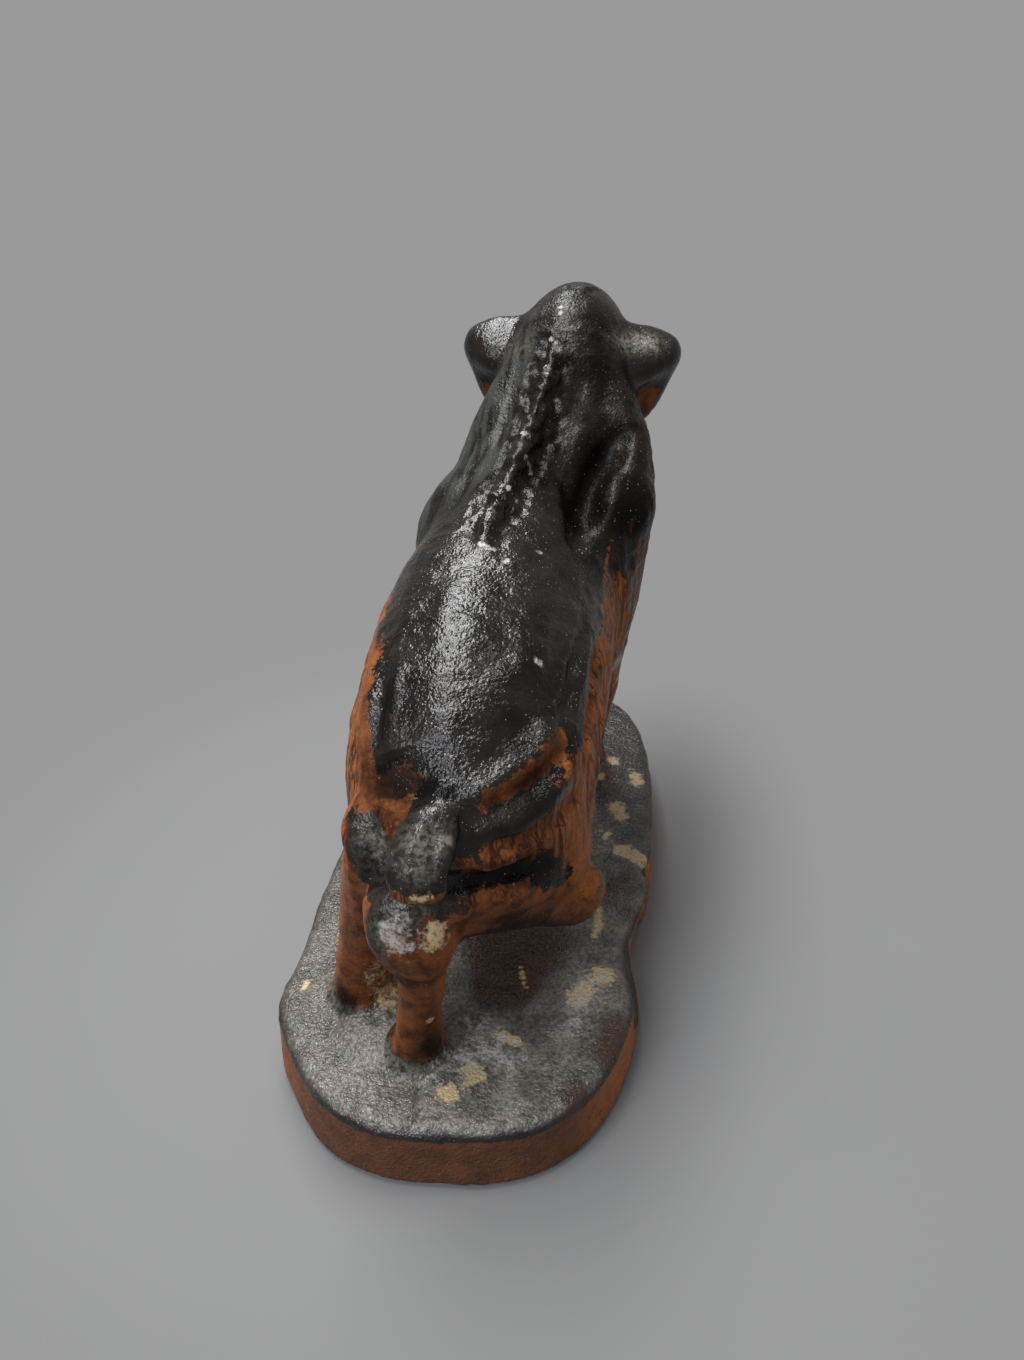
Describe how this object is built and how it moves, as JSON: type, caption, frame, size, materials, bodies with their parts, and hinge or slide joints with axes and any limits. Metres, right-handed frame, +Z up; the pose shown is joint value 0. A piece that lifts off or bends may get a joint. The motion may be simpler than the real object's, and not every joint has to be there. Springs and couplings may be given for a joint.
{
  "type": "boar figurine",
  "caption": "Dark, glossy stone boar at bay on a thick oval plinth with a wavy edge and a felt underside; an ornament for a shelf or a desk.",
  "frame": {"origin": "middle of the footprint, on the surface that the felt rests on", "axes": "+Z up; the boar faces -Y; its left side is +X and its tail hangs at +Y"},
  "size_m": [0.0814, 0.1678, 0.1452],
  "materials": {
    "stone": "gloss",
    "tusk": "gloss",
    "eye": "gloss",
    "pin": "satin",
    "felt": "matte"
  },
  "bodies": {
    "root": {"plinth": "stone", "felt_pad": "felt", "torso": "stone", "head": "stone", "ear_left": "stone", "ear_right": "stone", "eye_left": "eye", "eye_right": "eye", "tusk_left": "tusk", "tusk_right": "tusk", "tail": "stone", "hind_leg_left": "stone", "hind_leg_right": "stone", "fore_leg_left": "stone", "fore_leg_right": "stone", "foot_dowel_hind_left": "pin", "foot_dowel_hind_right": "pin", "foot_dowel_fore_left": "pin", "foot_dowel_fore_right": "pin", "leg_dowel_hind_left": "pin", "leg_dowel_hind_right": "pin", "leg_dowel_fore_left": "pin", "leg_dowel_fore_right": "pin", "neck_dowel": "pin"}
  },
  "joints": []
}
